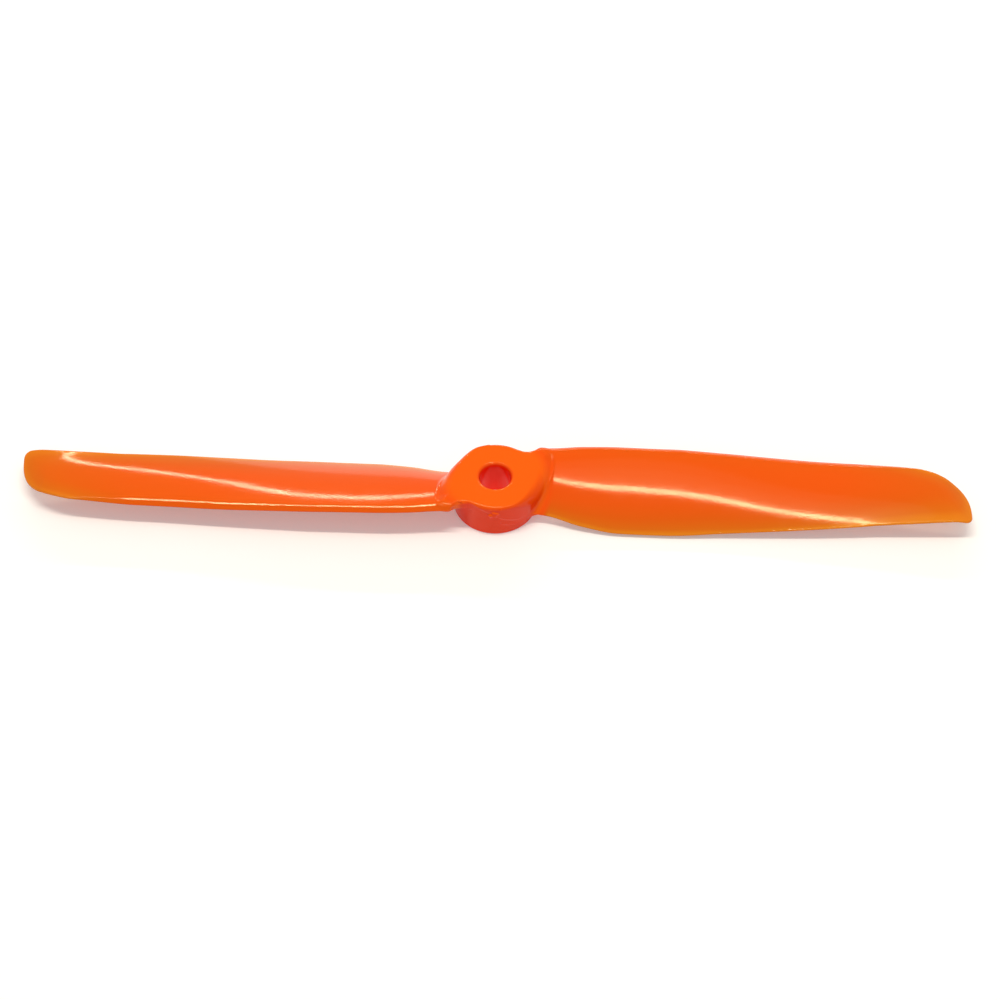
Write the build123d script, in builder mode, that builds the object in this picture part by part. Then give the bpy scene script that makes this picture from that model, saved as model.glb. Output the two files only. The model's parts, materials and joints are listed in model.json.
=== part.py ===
"""Two-blade moulded propeller, six inches across, for a 5 mm motor shaft.

Millimetres, +Z up. The origin is the centre of the hub's bottom face, on the axis of the bore.
The blades lie along +X and -X, and each is the other turned half a turn about Z. Seen from above
the propeller turns anticlockwise, so the leading edge of the +X blade is on its +Y side.

The propeller is one moulding. It is built whole, then parted across the two blade roots into
the hub, with its root stubs, and the two blades, which meet the stubs face to face.
"""

import os
from math import cos, radians, sin, sqrt

from build123d import *

# ---- driving dimensions -------------------------------------------------------------------
DIAMETER = 152.4  # six inches, tip to tip
TIP = DIAMETER / 2

HUB_RADIUS = 6.7
HUB_HEIGHT = 6.5
HUB_EDGE = 0.3  # bevel round the deck, and round the foot
BORE_RADIUS = 2.5
BORE_RIM = 0.6  # rounding at the top of the bore
BORE_FOOT = 0.3  # bevel at the bottom of the bore

ROOT_PLANE = 10.0  # distance from the axis at which a blade is parted from its stub
MOULD_STEP = 0.03  # the deck stands this much proud of the blade root below it

# Neck between the round hub and the leading edge, in plan, for the +X blade
NECK_INNER = (2.9, 5.62)
NECK_FLOOR = (4.9, 5.59)
NECK_END = (6.4, 6.13)
LEADING_CORNER = (7.35, 7.9)

# Swept tip, in plan: a quarter of a squared-off oval, leaning back as it goes out
TIP_CENTRE = (60.4, -3.3)
TIP_WIDTH = 9.4
TIP_POWER = 2.9  # 2 would be an ellipse
TIP_LEAN = 0.05
TIP_SHARES = (0.07, 0.23, 0.42, 0.61, 0.73, 0.83, 0.91, 0.96, 0.987)  # shares of the way out
TIP_HEEL = (TIP, -3.5)  # where the sweep meets the rounded trailing corner

# Blade section: shares of the chord are counted from the leading edge
THICKEST = 0.42  # share of the chord where the section is thickest
TRAILING_RADIUS = 0.2
SECTION_SHARES = (0.003, 0.012, 0.04, 0.12, 0.25, 0.42, 0.6, 0.8, 0.98)

# radius, chord, pitch in degrees, Y and Z of the middle of the chord line, greatest thickness,
# radius of the leading edge, rise of the mean line over the chord line as a share of the chord
STATIONS = (
    (1.0, 11.3, 19.6, 1.66, 4.15, 1.90, 0.60, 0.036),
    (8.0, 11.7, 19.6, 1.28, 3.87, 1.80, 0.60, 0.036),
    (14.0, 13.8, 19.5, 0.77, 3.47, 1.60, 0.58, 0.036),
    (20.0, 14.9, 19.8, 0.42, 3.18, 1.50, 0.58, 0.036),
    (28.0, 14.95, 19.1, 0.33, 3.10, 1.45, 0.58, 0.036),
    (36.0, 14.2, 16.7, 0.35, 3.15, 1.38, 0.58, 0.036),
    (44.0, 13.4, 13.2, 0.28, 3.22, 1.32, 0.57, 0.036),
    (52.0, 12.55, 10.1, 0.18, 3.42, 1.24, 0.54, 0.036),
    (60.0, 11.75, 7.5, 0.24, 3.70, 1.12, 0.48, 0.036),
    (66.0, 11.15, 5.6, 0.12, 3.98, 0.95, 0.40, 0.034),
    (70.0, 10.75, 3.1, 0.05, 4.06, 0.82, 0.34, 0.032),
    (72.0, 10.60, 0.0, 0.02, 3.92, 0.74, 0.30, 0.030),
    (74.0, 10.50, -6.2, 0.02, 3.42, 0.62, 0.26, 0.030),
    (78.0, 10.40, -14.0, 0.00, 1.70, 0.50, 0.22, 0.030),
)
ROOT = STATIONS[1]


def tip_point(share):
    """(X, Y) on the tip's swept edge, at a share of the way from the oval's centre to the tip."""
    out = share * (TIP - TIP_CENTRE[0])
    wide = TIP_WIDTH * (1 - share**TIP_POWER) ** (1 / TIP_POWER)
    return TIP_CENTRE[0] + out, TIP_CENTRE[1] + wide - TIP_LEAN * out


def half_thickness(share, chord, thickest, nose):
    """Half the section's thickness at a share of the chord, with a round leading edge."""
    edge = nose if share < THICKEST else TRAILING_RADIUS
    run = THICKEST if share < THICKEST else 1 - THICKEST
    away = abs(share - THICKEST) / run
    body = thickest / 2 - (thickest / 2 - edge) * away**2
    along = min(share * chord / nose, 1)
    return body * sqrt(1 - (1 - along) ** 2)


def section_point(station, share, side=0):
    """(Y, Z) of a point on the section: side 1 is above, -1 below and 0 on the mean line."""
    radius, chord, pitch, middle_y, middle_z, thickest, nose, camber = station
    along = (0.5 - share) * chord
    rise = 4 * camber * chord * share * (1 - share)
    rise += side * half_thickness(share, chord, thickest, nose)
    turn = radians(pitch)
    return (
        middle_y + along * cos(turn) - rise * sin(turn),
        middle_z + along * sin(turn) + rise * cos(turn),
    )


def section_face(station):
    """One blade section, standing across the blade at the station's radius."""
    nose = section_point(station, 0)
    upper = [section_point(station, share, 1) for share in SECTION_SHARES]
    lower = [section_point(station, share, -1) for share in SECTION_SHARES]
    with BuildSketch(Plane.YZ.offset(station[0])) as section:
        with BuildLine():
            Spline(nose, *upper)
            Spline(nose, *lower)
            ThreePointArc(upper[-1], section_point(station, 1), lower[-1])
        make_face()
    return section.sketch


# ---- what the blade keeps of its loft, in plan: the neck, and the swept and rounded tip ------
with BuildPart() as plan_form:
    inner, floor, end = [(x, y - MOULD_STEP) for x, y in (NECK_INNER, NECK_FLOOR, NECK_END)]
    leading = [tip_point(share) for share in TIP_SHARES]
    with BuildSketch():
        with BuildLine():
            Line(inner, floor)
            TangentArc(floor, end, tangent=(1, 0))
            Polyline(end, LEADING_CORNER, (55, 8), leading[0])
            Spline(*leading, TIP_HEEL, tangents=((1, -0.06), (0, -1)))
            ThreePointArc(TIP_HEEL, (TIP - 0.4, -4.62), (TIP - 1.4, -5.08))
            Polyline((TIP - 1.4, -5.08), (67, -5.34), (60, -8), (2, -8), (0, 0), inner)
        make_face()
    extrude(amount=HUB_HEIGHT + 1)

# ---- blade: lofted through its stations, then trimmed to the plan ----------------------------
with BuildPart() as blade:
    for station in STATIONS:
        add(section_face(station))
    loft()
    add(plan_form.part, mode=Mode.INTERSECT)

# ---- lobe: the deck's spread over the root, down to the middle of the blade's thickness ------
with BuildSketch() as lobe_plan:
    with BuildLine():
        Polyline((0.5, 0), (0.5, NECK_INNER[1]), NECK_FLOOR)
        TangentArc(NECK_FLOOR, NECK_END, tangent=(1, 0))
        ThreePointArc(NECK_END, (7.7, 5.9), (8.3, 4.8))
        ThreePointArc((8.3, 4.8), (7.85, 0.9), (6.2, -3.2))
        ThreePointArc((6.2, -3.2), (5.25, -4.15), (4.0, -4.7))
        Line((4.0, -4.7), (0.5, 0))
    make_face()

with BuildPart() as lobe:
    add(lobe_plan.sketch)
    extrude(amount=HUB_HEIGHT - HUB_EDGE)
    with BuildSketch(Plane.XY.offset(HUB_HEIGHT - HUB_EDGE)):
        add(lobe_plan.sketch)
    with BuildSketch(Plane.XY.offset(HUB_HEIGHT)):
        add(lobe_plan.sketch)
        offset(amount=-HUB_EDGE, kind=Kind.INTERSECTION)
    loft(ruled=True)
    head = section_point(ROOT, 0.05)
    tail = section_point(ROOT, 0.9)
    with BuildSketch(Plane.YZ):
        with BuildLine():
            ThreePointArc(head, section_point(ROOT, 0.5), tail)
            Polyline(tail, (-7.5, 1.2), (-7.5, HUB_HEIGHT), (head[0], HUB_HEIGHT), head)
        make_face()
    extrude(amount=ROOT_PLANE, mode=Mode.INTERSECT)

# ---- the whole moulding ---------------------------------------------------------------------
with BuildPart() as moulding:
    Cylinder(HUB_RADIUS, HUB_HEIGHT, align=(Align.CENTER, Align.CENTER, Align.MIN))
    chamfer(moulding.edges().filter_by(GeomType.CIRCLE), HUB_EDGE)
    for turn in (0, 180):
        add(blade.part, rotation=(0, 0, turn))
        add(lobe.part, rotation=(0, 0, turn))
    Hole(BORE_RADIUS)
    bore_edges = moulding.edges().filter_by(lambda edge: edge.geom_type == GeomType.CIRCLE)
    bore_edges = bore_edges.filter_by(lambda edge: abs(edge.radius - BORE_RADIUS) < 0.01)
    fillet(bore_edges.sort_by(Axis.Z)[-1], BORE_RIM)
    foot_edges = moulding.edges().filter_by(lambda edge: edge.geom_type == GeomType.CIRCLE)
    foot_edges = foot_edges.filter_by(lambda edge: abs(edge.radius - BORE_RADIUS) < 0.01)
    chamfer(foot_edges.sort_by(Axis.Z)[0], BORE_FOOT)

# ---- the named parts ------------------------------------------------------------------------
with BuildPart() as hub:
    add(moulding.part)
    split(bisect_by=Plane.YZ.offset(ROOT_PLANE), keep=Keep.BOTTOM)
    split(bisect_by=Plane.YZ.offset(-ROOT_PLANE), keep=Keep.TOP)

with BuildPart() as blade_a:
    add(moulding.part)
    split(bisect_by=Plane.YZ.offset(ROOT_PLANE), keep=Keep.TOP)

with BuildPart() as blade_b:
    add(blade_a.part, rotation=(0, 0, 180))

os.makedirs("parts", exist_ok=True)
for name, piece in (("hub", hub), ("blade_a", blade_a), ("blade_b", blade_b)):
    piece.part.label = name
    export_step(piece.part, f"parts/{name}.step")
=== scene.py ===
"""Looks for the two-blade propeller: one glossy, translucent orange moulding.

The surface is one signed field, in millimetres in the part's frame: blades, root lobes, deck,
boss and bore, blended by rounded unions. The field is meshed once and parted at the planes where
the CAD model is parted, so the three pieces meet without a visible seam.
"""

import json
from math import cos, radians, sin

import bmesh
import bpy
import numpy as np
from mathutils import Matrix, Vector


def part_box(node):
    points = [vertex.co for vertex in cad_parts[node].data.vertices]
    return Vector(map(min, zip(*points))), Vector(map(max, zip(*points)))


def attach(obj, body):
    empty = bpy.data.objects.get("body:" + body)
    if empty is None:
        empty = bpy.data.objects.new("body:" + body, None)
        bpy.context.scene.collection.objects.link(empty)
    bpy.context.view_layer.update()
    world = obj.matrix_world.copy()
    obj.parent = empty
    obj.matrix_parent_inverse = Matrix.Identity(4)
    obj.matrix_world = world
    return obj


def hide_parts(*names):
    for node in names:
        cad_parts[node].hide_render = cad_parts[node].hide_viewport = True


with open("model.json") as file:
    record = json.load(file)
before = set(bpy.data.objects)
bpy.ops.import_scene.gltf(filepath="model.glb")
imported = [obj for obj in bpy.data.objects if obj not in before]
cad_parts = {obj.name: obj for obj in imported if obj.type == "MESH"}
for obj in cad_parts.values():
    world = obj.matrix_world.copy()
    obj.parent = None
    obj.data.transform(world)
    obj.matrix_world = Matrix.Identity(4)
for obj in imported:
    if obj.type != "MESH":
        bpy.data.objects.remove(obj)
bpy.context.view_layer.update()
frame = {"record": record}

MM = 0.001

# ---- sizes from the frame ---------------------------------------------------------------------
HUB_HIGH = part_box("hub")[1] / MM
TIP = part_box("blade_a")[1].x / MM
HUB_HEIGHT = HUB_HIGH.z
ROOT_PLANE = HUB_HIGH.x
BORE_RADIUS = frame["record"]["mounts"][0]["dims"]["r_mm"]

HUB_RADIUS = 6.85
MOULD_STEP = 0.13
DECK_EDGE = 0.62
LOBE_EDGE = 2.0
BORE_RIM = 0.65
BORE_FOOT = 0.15
FOOT_EDGE = 0.25
FILLET = 0.35

# the deck's lobe over a blade root, in plan: what two circles share, cut straight along the front
LOBE_OUTER = (-3, 3.6, 11.85)  # centre and radius
LOBE_REAR = (-0.387, 2.62, 9.5)
LOBE_FRONT = 6.15
LOBE_START = 1.2
LOBE_BLEND = 0.9
NOTCH = (4.9, 8.05, 2.45)  # a slot in front of the root: its round end's centre and radius

# the parting surface's height at the axis, its slope, and how far from the axis it is eased
PARTING = (3.42, 0.356, 6)
LINE_RISE = 1.25  # the parting line climbs the hub between the blades
LINE_REACH = 7.5
STEP_BAND = 0.4  # height over which the wall steps in at the parting line
FLASH = (0.05, 0.13)  # how far the flash stands out, and half its height
MARK_FILLET = 0.12

# small marks left by the mould, as (start, end, radius): the broken gate, a nib, and flash by the roots
MARKS = (
    ((-0.6, -6.74, 4.7), (0.2, -6.8, 4.9), 0.34),
    ((-0.1, -6.84, 5.35), (0.6, -6.8, 5.15), 0.24),
    ((-0.5, -6.76, 4.15), (-0.4, -6.8, 4.7), 0.22),
    ((-4.3, -5.28, 5.1), (-4.1, -5.44, 4.9), 0.2),
    ((8.15, 5.75, 6.34), (8.6, 5.1, 6.1), 0.16),
    ((8.6, 5.1, 6.1), (9.05, 5.3, 6.0), 0.14),
    ((9.05, 5.3, 6.0), (9.0, 4.7, 5.8), 0.12),
    ((-6.5, -5.75, 6.14), (-5.9, -5.35, 6.44), 0.15),
    ((-5.9, -5.35, 6.44), (-5.3, -5.5, 6.44), 0.12),
    ((-7.2, -5.9, 6.14), (-6.5, -5.75, 6.14), 0.12),
)

# radius, chord, pitch in degrees, Y and Z of the middle of the chord line,
# greatest thickness, radius of the leading edge, camber as a share of the chord. Chord, pitch,
# Y and Z are rounded from a solver's fit to the photograph's outline, up to 60 mm out.
STATIONS = np.array(
    [
        (1.0, 11.3, 19.6, 1.66, 4.15, 1.90, 0.60, 0.036),
        (8.0, 11.7, 19.6, 1.28, 3.87, 1.80, 0.60, 0.036),
        (14.0, 13.8, 19.5, 0.77, 3.47, 1.60, 0.58, 0.036),
        (20.0, 14.9, 19.8, 0.42, 3.18, 1.50, 0.58, 0.036),
        (28.0, 14.95, 19.1, 0.33, 3.10, 1.45, 0.58, 0.036),
        (36.0, 14.2, 16.7, 0.35, 3.15, 1.38, 0.58, 0.036),
        (44.0, 13.4, 13.2, 0.28, 3.22, 1.32, 0.57, 0.036),
        (52.0, 12.55, 10.1, 0.18, 3.42, 1.24, 0.54, 0.036),
        (60.0, 11.75, 7.5, 0.24, 3.70, 1.12, 0.48, 0.036),
        (66.0, 11.15, 5.6, 0.12, 3.98, 0.98, 0.41, 0.034),
        (70.0, 10.75, 3.1, 0.05, 4.06, 0.88, 0.30, 0.032),
        (72.0, 10.60, 0.0, 0.02, 3.92, 0.84, 0.28, 0.030),
        (74.0, 10.50, -6.2, 0.02, 3.42, 0.78, 0.26, 0.030),
        (78.0, 10.40, -14.0, 0.00, 1.70, 0.60, 0.24, 0.030),
    ]
)
THICKEST = 0.42
TRAILING_RADIUS = 0.2

# two facets along the top of the leading edge: lean to the deck, distance from the centre of the
# edge's round near the root, and how much nearer the facet lies in the outer blade
LAND = (radians(21), 0.345, 0.07)
BEVEL = (radians(32), 0.3, 0.09)
FACET_EDGE = 0.06
OUTER_START = 28
OUTER_RUN = 30

# the blade thins towards the rim of the tip
THINNING_START = 58
THINNING_RUN = 10
THINNING_RIM = 4.5

# the tip's plan: a quarter of a squared-off oval, leaning back, and a trailing edge that is straight
TIP_CENTRE = (60.4, -3.3)
TIP_REACH = (TIP - TIP_CENTRE[0], 9.4)
TIP_POWER = 2.9  # 2 would be an ellipse
TIP_LEAN = 0.05
TIP_CORNER = 1.3
TIP_EDGE = 0.22
TRAILING_EDGE = (74, -5.12, 0.0316)  # a place on it, in u and v, and its slope


def smooth_curve(xs, ys, x):
    """Piecewise cubic through the stations, with slopes that don't overshoot."""
    step = np.diff(xs)
    rise = np.diff(ys) / step
    slope = np.zeros_like(ys)
    same = rise[1:] * rise[:-1] > 0
    weight_a, weight_b = 2 * step[1:] + step[:-1], step[1:] + 2 * step[:-1]
    with np.errstate(divide="ignore", invalid="ignore"):
        inner = (weight_a + weight_b) / (weight_a / rise[:-1] + weight_b / rise[1:])
    slope[1:-1] = np.where(same, inner, 0)
    slope[0], slope[-1] = rise[0], rise[-1]
    x = np.clip(x, xs[0], xs[-1])
    i = np.clip(np.searchsorted(xs, x) - 1, 0, len(xs) - 2)
    t = (x - xs[i]) / step[i]
    return (
        (1 + 2 * t) * (1 - t) ** 2 * ys[i]
        + t * (1 - t) ** 2 * step[i] * slope[i]
        + t * t * (3 - 2 * t) * ys[i + 1]
        + t * t * (t - 1) * step[i] * slope[i + 1]
    )


def round_union(a, b, radius):
    """Union of two solids with a concave fillet between them."""
    reach = np.hypot(np.maximum(radius - a, 0), np.maximum(radius - b, 0))
    return np.maximum(radius, np.minimum(a, b)) - reach


def round_cut(a, b, radius):
    """What two solids share, with a rounded edge."""
    reach = np.hypot(np.maximum(radius + a, 0), np.maximum(radius + b, 0))
    return np.minimum(-radius, np.maximum(a, b)) + reach


def blade_field(u, v, z, from_edge):
    """Distance to the blade, and its half thickness: u runs out along it, v to its leading edge."""
    chord, pitch, middle_v, middle_z, thickest, nose, camber = (
        smooth_curve(STATIONS[:, 0], STATIONS[:, k], u) for k in range(1, 8)
    )
    turn = np.radians(pitch)
    dv, dz = v - middle_v, z - middle_z
    along = chord / 2 - (dv * np.cos(turn) + dz * np.sin(turn))
    across = dz * np.cos(turn) - dv * np.sin(turn)
    held = np.clip(along, nose, chord - TRAILING_RADIUS)
    share = held / chord
    mean = 4 * camber * chord * share * (1 - share)
    slope = 4 * camber * (1 - 2 * share)
    edge = np.where(share < THICKEST, nose, TRAILING_RADIUS)
    run = np.where(share < THICKEST, THICKEST - nose / chord, 1 - THICKEST - TRAILING_RADIUS / chord)
    away = np.abs(share - THICKEST) / run
    half = thickest / 2 - (thickest / 2 - edge) * away**2
    towards_tip = np.clip((u - THINNING_START) / THINNING_RUN, 0, 1)
    thinned = towards_tip * np.clip(1 - from_edge / THINNING_RIM, 0, 1) ** 2
    half = half - np.maximum(half - TIP_EDGE, 0) * thinned
    off = (across - mean) / np.sqrt(1 + slope**2)
    solid = np.hypot(along - held, off) - half
    rise = across - 4 * camber * nose * (1 - nose / chord)
    outer = np.clip((u - OUTER_START) / OUTER_RUN, 0, 1)
    land, bevel = (
        rise * np.cos(turn + lean) - (along - nose) * np.sin(turn + lean) - distance + nearer * outer
        for lean, distance, nearer in (LAND, BEVEL)
    )
    return round_cut(solid, np.maximum(land, bevel), FACET_EDGE), half


def tip_field(u, v):
    """Distance outside the tip's outline in plan, with a round corner behind the swept curve."""
    inboard = np.maximum(TIP_CENTRE[0] - u, 0)
    a = np.maximum((u - TIP_CENTRE[0]) / TIP_REACH[0], 1e-4)
    lean = TIP_LEAN * (u - TIP_CENTRE[0])
    b = np.maximum((v + lean - TIP_CENTRE[1] - 0.25 * inboard) / TIP_REACH[1], 1e-4)
    total = a**TIP_POWER + b**TIP_POWER
    steep = TIP_POWER * np.hypot(a ** (TIP_POWER - 1) / TIP_REACH[0], b ** (TIP_POWER - 1) / TIP_REACH[1])
    swept = (total - 1) / np.maximum(steep, 1e-3)
    place_u, place_v, fall = TRAILING_EDGE
    trailing = -(v - place_v + fall * (place_u - u)) - 0.1 * inboard
    return round_cut(swept, trailing, TIP_CORNER)


def rod(x, y, z, start, end, radius):
    """Distance to a round-ended rod."""
    run = np.subtract(end, start)
    dx, dy, dz = x - start[0], y - start[1], z - start[2]
    share = np.clip((dx * run[0] + dy * run[1] + dz * run[2]) / (run @ run), 0, 1)
    dx, dy, dz = dx - share * run[0], dy - share * run[1], dz - share * run[2]
    return np.sqrt(dx**2 + dy**2 + dz**2) - radius


def disc(u, v, circle):
    """Distance outside a circle in plan, given as its centre and radius."""
    return np.hypot(u - circle[0], v - circle[1]) - circle[2]


def smooth_step(x):
    """0 below 0, 1 above 1, and an even rise between."""
    x = np.clip(x, 0, 1)
    return x * x * (3 - 2 * x)


def field(x, y, z):
    """Signed distance to the propeller's surface, negative inside, in millimetres."""
    side = np.where(x < 0, -1.0, 1.0)
    u, v = x * side, y * side
    rho = np.hypot(x, y)

    outside = tip_field(u, v)
    blade, half = blade_field(u, v, z, -outside)
    blade = round_cut(blade, outside, TIP_EDGE)
    # parting surface: the middle of the blades' thickness, eased across the hub
    parting_height, parting_slope, eased = PARTING
    ease = np.clip(x / eased, -1, 1)
    ease = ease * (1.5 - 0.5 * ease**2)
    parting = parting_height + parting_slope * y * ease

    lobe = round_cut(disc(u, v, LOBE_OUTER), v - LOBE_FRONT, LOBE_BLEND)
    lobe = np.maximum(lobe, disc(u, v, LOBE_REAR) + MOULD_STEP)
    lobe = np.maximum(lobe, LOBE_START - u)
    beside = np.minimum(lobe, rho - HUB_RADIUS)
    lobe = np.maximum(lobe, parting - z)
    upper = round_union(lobe, blade, LOBE_BLEND)
    notch = np.hypot(np.maximum(u - NOTCH[0], 0), v - NOTCH[1]) - NOTCH[2]
    upper = round_cut(upper, -notch, FILLET)

    # the deck's half of the mould is a little wider than the boss's, with a trace of flash between
    line = parting + LINE_RISE * (1 - np.clip(u / LINE_REACH, 0, 1) ** 4)
    wall = HUB_RADIUS - MOULD_STEP * (1 - smooth_step((z - line) / STEP_BAND + 0.5))
    flash = FLASH[0] * np.exp(-(((z - line) / FLASH[1]) ** 2))
    body = round_union(upper, rho - wall - flash, FILLET)
    # the deck's edge is rounder over the roots, and its rounding dies away out on the blades
    shoulder = smooth_step((u - 3) / 3) * smooth_step((5.8 - v) / 2.2)
    edge = DECK_EDGE + (LOBE_EDGE - DECK_EDGE) * shoulder
    edge = 0.02 + edge * (1 - smooth_step(beside / 0.9))
    body = round_cut(body, z - HUB_HEIGHT, edge)
    body = round_cut(body, -z, FOOT_EDGE)
    for start, end, radius in MARKS:
        body = round_union(body, rod(x, y, z, start, end, radius), MARK_FILLET)
    # the bore's edge is rounded more towards the deck
    rim = np.clip(BORE_FOOT + (z - 2.5) * 0.2, BORE_FOOT, BORE_RIM)
    body = round_cut(body, BORE_RADIUS - rho, rim)
    return body, half


def slope_of(points):
    """The field's gradient at each point, by central differences."""
    step = 0.004
    gradient = np.empty_like(points)
    for axis in range(3):
        ahead, behind = points.copy(), points.copy()
        ahead[:, axis] += step
        behind[:, axis] -= step
        gradient[:, axis] = field(*ahead.T)[0] - field(*behind.T)[0]
    return gradient / (2 * step)


def graded_line(stops):
    """Grid places from (place, spacing) stops, with the spacing eased from stop to stop."""
    places = [stops[0][0]]
    while places[-1] < stops[-1][0]:
        places.append(places[-1] + np.interp(places[-1], *zip(*stops)))
    return np.array(places)


def surface_net(xs, ys, zs):
    """Points and outward quads of the field's zero surface: one point in each grid cell that it crosses."""
    values = np.empty((len(xs), len(ys), len(zs)))
    for start in range(0, len(xs), 32):
        slab = slice(start, start + 32)
        values[slab] = field(xs[slab, None, None], ys[None, :, None], zs[None, None, :])[0]
    cells = np.array(values.shape) - 1
    total = np.zeros((cells.prod(), 3))
    count = np.zeros(cells.prod())
    grid = (xs, ys, zs)
    quads = []
    for axis in range(3):
        b, c = (axis + 1) % 3, (axis + 2) % 3
        low = [slice(None)] * 3
        high = [slice(None)] * 3
        low[axis], high[axis] = slice(None, -1), slice(1, None)
        f0, f1 = values[tuple(low)], values[tuple(high)]
        at = np.argwhere((f0 < 0) != (f1 < 0))
        v0, v1 = f0[tuple(at.T)], f1[tuple(at.T)]
        share = v0 / (v0 - v1)
        point = np.stack([grid[k][at[:, k]] for k in range(3)], 1)
        width = grid[axis][at[:, axis] + 1] - grid[axis][at[:, axis]]
        point[:, axis] += share * width
        ring = []
        for db, dc in ((-1, -1), (0, -1), (0, 0), (-1, 0)):
            cell = at.copy()
            cell[:, b] += db
            cell[:, c] += dc
            index = np.ravel_multi_index(cell.T, cells)
            for k in range(3):
                total[:, k] += np.bincount(index, point[:, k], len(total))
            count += np.bincount(index, minlength=len(count))
            ring.append(index)
        ring = np.stack(ring, 1)
        outward = v0 < 0
        quads.append(np.where(outward[:, None], ring, ring[:, ::-1]))
    used = np.flatnonzero(count)
    renumber = np.empty(len(count), int)
    renumber[used] = np.arange(len(used))
    points = total[used] / count[used, None]
    for _ in range(5):
        gradient = slope_of(points)
        steep = np.maximum((gradient**2).sum(1), 0.25)
        move = -field(*points.T)[0][:, None] * gradient / steep[:, None]
        points += np.clip(move, -0.05, 0.05)
    return points, renumber[np.concatenate(quads)]


# the grid is fine round the hub and at the tips, and wide along the blades between them
coarse = 1.0
right_line = graded_line(
    (
        (0.065, 0.13 * coarse),
        (11, 0.14 * coarse),
        (16, 0.5),
        (62, 0.5),
        (68, 0.16 * coarse),
        (TIP + 1, 0.16 * coarse),
    )
)
xs = np.concatenate([-right_line[::-1], right_line])
half_line = np.arange(0.06, 8, 0.12 * coarse)
ys = np.concatenate([-half_line[::-1], half_line])
zs = np.arange(-0.31, HUB_HEIGHT + 0.4, 0.12 * coarse)
points, quads = surface_net(xs, ys, zs)


def make_piece(name, low, high):
    """The part of the surface between two x planes, closed by flat faces, as a Blender object."""
    mesh = bpy.data.meshes.new(name)
    mesh.from_pydata(points.tolist(), [], quads.tolist())
    shape = bmesh.new()
    shape.from_mesh(mesh)
    for plane, keep in ((low, 1), (high, -1)):
        if plane is None:
            continue
        everything = shape.verts[:] + shape.edges[:] + shape.faces[:]
        cut = bmesh.ops.bisect_plane(
            shape,
            geom=everything,
            plane_co=(plane, 0, 0),
            plane_no=(-keep, 0, 0),
            clear_outer=True,
            dist=0.002,
        )
        rim = [item for item in cut["geom_cut"] if isinstance(item, bmesh.types.BMEdge)]
        bmesh.ops.edgeloop_fill(shape, edges=rim)
    shape.to_mesh(mesh)
    shape.free()
    co = np.empty(len(mesh.vertices) * 3)
    mesh.vertices.foreach_get("co", co)
    co = co.reshape(-1, 3)
    normal = slope_of(co)
    normal /= np.linalg.norm(normal, axis=1)[:, None]
    half = field(*co.T)[1]
    depth_and_painted_light = mesh.attributes.new("depth_and_painted_light", "FLOAT", "POINT")
    depth_and_painted_light.data.foreach_set("value", depth_with_painted_light(co, normal, half).astype(np.float32))
    mesh.vertices.foreach_set("co", (co * MM).ravel())
    mesh.polygons.foreach_set("use_smooth", np.ones(len(mesh.polygons), bool))
    corner_vertex = np.empty(len(mesh.loops), int)
    mesh.loops.foreach_get("vertex_index", corner_vertex)
    corner_normal = normal[corner_vertex]
    for face in mesh.polygons:
        if abs(face.normal.x) > 0.999 and face.loop_total > 8:
            corner_normal[list(face.loop_indices)] = face.normal
    mesh.normals_split_custom_set(corner_normal.tolist())
    mesh.update()
    piece = bpy.data.objects.new(name, mesh)
    bpy.context.scene.collection.objects.link(piece)
    return piece


# the hub's mass stops counting this far from the axis, and gives way over this distance
DEPTH_END = 9.6
DEPTH_EASE = 2.6
# painted light and shade: the hub is painted paler on faces that look up or outward, so the deck is lighter
# than the walls and the bore is darkest
UP_FACE_PAINTED_LIGHT = 2.8  # millimetres less for a face that looks up, and for one that looks outward
OUT_FACE_PAINTED_LIGHT = 1.1


def depth_with_painted_light(co, normal, half):
    """How much plastic lies under each point, in millimetres: the blade's thickness, or the hub's mass less
    painted light on faces that look up or outward.
    """
    rho = np.hypot(co[:, 0], co[:, 1])
    hub = smooth_step((DEPTH_END - rho) / DEPTH_EASE)
    facing_up = np.clip(normal[:, 2], 0, 1)
    outward = np.clip((normal[:, 0] * co[:, 0] + normal[:, 1] * co[:, 1]) / rho, 0, 1)
    # painted light: faces that look up or outward count as less plastic, so they come out paler
    mass_less_painted_light = HUB_HEIGHT - UP_FACE_PAINTED_LIGHT * facing_up - OUT_FACE_PAINTED_LIGHT * outward * (1 - facing_up)
    return (2 * half) * (1 - hub) + hub * mass_less_painted_light


# ---- camera -------------------------------------------------------------------------------
ELEVATION = radians(50)
AZIMUTH = radians(2)
DISTANCE = 620 * MM
SENSOR = 36
PICTURES = 6.26  # how often the picture's width goes into a metre at the deck
AIM_RIGHT, AIM_DOWN = 0.75, 3.87  # millimetres from the deck's centre to the middle of the picture
deck = Vector((0, 0, HUB_HEIGHT * MM))
look = Vector((-sin(AZIMUTH) * cos(ELEVATION), cos(AZIMUTH) * cos(ELEVATION), -sin(ELEVATION)))
right = Vector((cos(AZIMUTH), sin(AZIMUTH), 0))
up = right.cross(look)
aim = deck + right * AIM_RIGHT * MM - up * AIM_DOWN * MM
camera_data = bpy.data.cameras.new("camera")
camera_data.sensor_width = SENSOR
camera_data.lens = SENSOR * PICTURES * DISTANCE
camera = bpy.data.objects.new("camera", camera_data)
bpy.context.scene.collection.objects.link(camera)
camera.location = deck - look * DISTANCE
view = (aim - camera.location).normalized()
camera.rotation_euler = view.to_track_quat("-Z", "Y").to_euler()
bpy.context.scene.camera = camera

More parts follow.
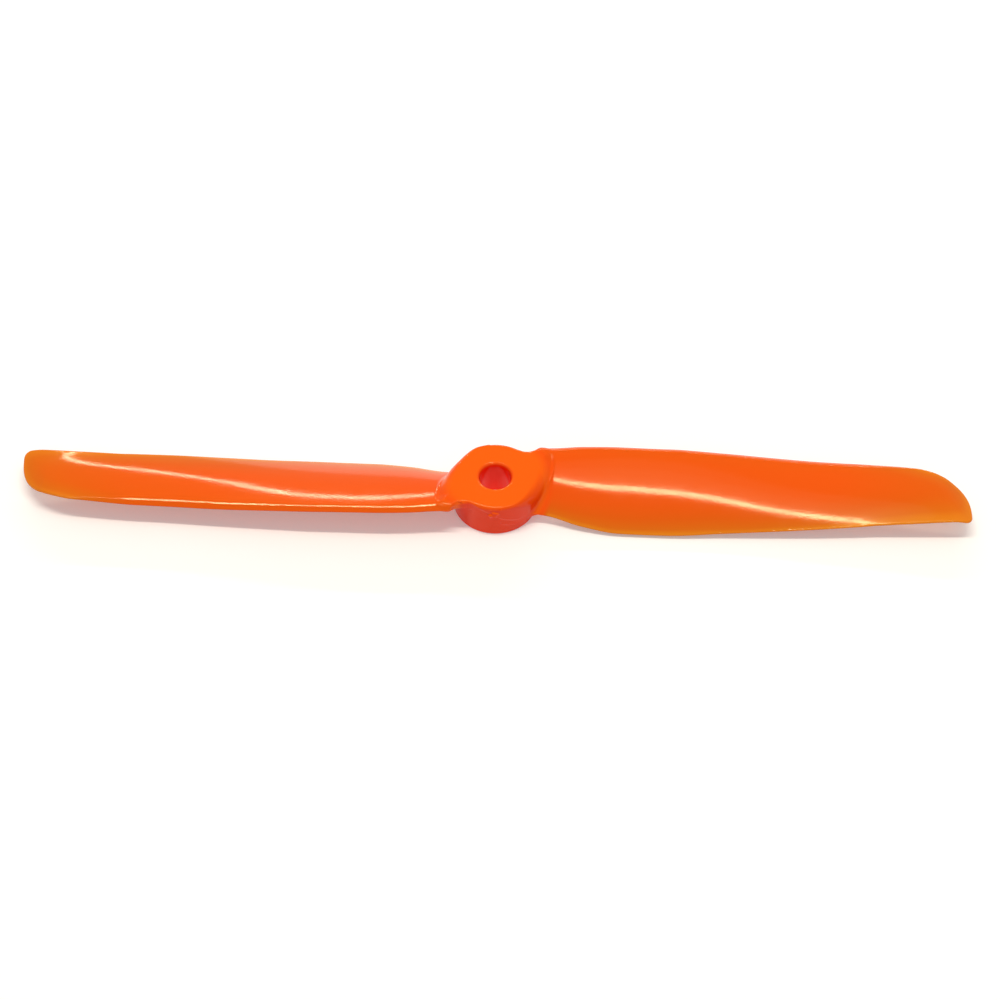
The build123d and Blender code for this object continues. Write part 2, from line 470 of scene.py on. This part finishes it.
# ---- material -------------------------------------------------------------------------------
# colour of the plastic at each thickness, in millimetres; on the hub the thickness also carries painted
# light, so faces that look up or outward come out paler
TINTS = (
    (0.35, (0.74, 0.250, 0.012)),
    (0.6, (0.68, 0.140, 0.004)),
    (0.95, (0.72, 0.105, 0.002)),
    (1.3, (0.79, 0.092, 0.002)),
    (1.9, (0.82, 0.080, 0.001)),
    (3.7, (0.87, 0.112, 0.001)),
    (5.3, (0.78, 0.034, 0.001)),
    # partly a painted glow: the deepest stop colours the bore. It is the plastic's own deep red, pushed to
    # full red to stand for light shining through it
    (6.3, (1.0, 0.022, 0.001)),
)


def orange_plastic():
    """Glossy translucent orange: amber where thin, deep red-orange where thick, with faint flow marks, and
    painted light that makes the hub's upward and outward faces paler.
    """
    material = bpy.data.materials.new("orange_plastic")
    material.use_nodes = True
    nodes, links = material.node_tree.nodes, material.node_tree.links
    shader = nodes["Principled BSDF"]

    def node(kind, **values):
        made = nodes.new(kind)
        for name, value in values.items():
            if isinstance(value, bpy.types.NodeSocket):
                links.new(value, made.inputs[name.replace("_", " ")])
            else:
                made.inputs[name.replace("_", " ")].default_value = value
        return made

    def noise(scale, detail, stretch=(1, 1, 1)):
        spread = node("ShaderNodeMapping", Vector=place, Scale=stretch)
        made = node("ShaderNodeTexNoise", Vector=spread.outputs[0], Scale=scale, Detail=detail)
        return made.outputs["Fac"]

    place = nodes.new("ShaderNodeTexCoord").outputs["Object"]
    depth_and_painted_light = nodes.new("ShaderNodeAttribute")
    depth_and_painted_light.attribute_name = "depth_and_painted_light"
    mottle = noise(90, 3, (0.35, 1, 1))
    uneven = node("ShaderNodeMapRange", Value=mottle, To_Min=-0.22, To_Max=0.22).outputs[0]
    thickness_and_painted_light = nodes.new("ShaderNodeMath")
    links.new(depth_and_painted_light.outputs["Fac"], thickness_and_painted_light.inputs[0])
    links.new(uneven, thickness_and_painted_light.inputs[1])
    share = node("ShaderNodeMapRange", Value=thickness_and_painted_light.outputs[0], From_Max=HUB_HEIGHT)
    tint = node("ShaderNodeValToRGB", Fac=share.outputs["Result"])
    tints = tint.color_ramp.elements
    while len(tints) < len(TINTS):
        tints.new(0.5)
    for element, (thickness, colour) in zip(tints, TINTS):
        element.position = thickness / HUB_HEIGHT
        element.color = (*colour, 1)
    links.new(tint.outputs["Color"], shader.inputs["Base Color"])

    cloudy = node("ShaderNodeMapRange", Value=noise(420, 4), To_Min=0.05, To_Max=0.15)
    links.new(cloudy.outputs["Result"], shader.inputs["Roughness"])
    shader.inputs["IOR"].default_value = 1.35
    shader.inputs["Specular Tint"].default_value = (1.0, 0.84, 0.6, 1)
    flow = node("ShaderNodeBump", Height=noise(260, 3, (0.12, 1, 1)), Strength=0.35, Distance=0.00003)
    grain = node("ShaderNodeBump", Height=noise(2400, 2), Strength=0.4, Distance=0.00002)
    links.new(flow.outputs["Normal"], grain.inputs["Normal"])
    links.new(grain.outputs["Normal"], shader.inputs["Normal"])
    return material


plastic = orange_plastic()
for name, low, high, node in (
    ("hub_moulding", -ROOT_PLANE, ROOT_PLANE, "hub"),
    ("blade_a_moulding", ROOT_PLANE, None, "blade_a"),
    ("blade_b_moulding", None, -ROOT_PLANE, "blade_b"),
):
    piece = make_piece(name, low, high)
    piece.data.materials.append(plastic)
    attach(piece, "root")
    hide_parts(node)

# ---- floor and light --------------------------------------------------------------------------
bpy.ops.mesh.primitive_plane_add(size=6, location=(0, 0, -0.00002))
floor = bpy.context.object
floor.name = "floor"
white = bpy.data.materials.new("pale_floor")
white.use_nodes = True
finish = white.node_tree.nodes["Principled BSDF"].inputs
finish["Base Color"].default_value = (0.74, 0.78, 0.88, 1)
finish["Emission Color"].default_value = (1, 1, 1, 1)
finish["Emission Strength"].default_value = 0.22
finish["Roughness"].default_value = 0.9
floor.data.materials.append(white)

world = bpy.data.worlds.new("studio")
bpy.context.scene.world = world
world.use_nodes = True
sky = world.node_tree.nodes["Background"].inputs
sky["Color"].default_value = (1, 0.94, 0.84, 1)
sky["Strength"].default_value = 0.45
bpy.context.scene.view_settings.view_transform = "Standard"

WARM = (1.0, 0.9, 0.68)


def soft_box(name, place, size, power):
    """A rectangular lamp, in metres and watts, that faces the hub."""
    data = bpy.data.lights.new(name, "AREA")
    data.shape = "RECTANGLE"
    data.size, data.size_y = size
    data.energy = power
    data.color = WARM
    lamp = bpy.data.objects.new(name, data)
    bpy.context.scene.collection.objects.link(lamp)
    lamp.location = place
    lamp.rotation_euler = (Vector() - Vector(place)).to_track_quat("-Z", "Y").to_euler()


# the tube makes the +X blade's long highlight and the bright line on the -X blade's leading edge,
# and the strip makes the -X blade's long highlight
soft_box("tube", (0, -0.035, 0.9), (0.65, 0.035), 4.4)
for i, (near, far, power) in enumerate(((-0.1, 0.08, 0.6), (-0.07, 0.18, 0.75), (-0.03, 0.3, 0.9))):
    soft_box(f"panel_{i}", (0, (near + far) / 2, 1.0 + 0.02 * i), (1.2, far - near), power)
soft_box("strip", (0, 1.05, 0.51), (1.0, 0.022), 3.6)
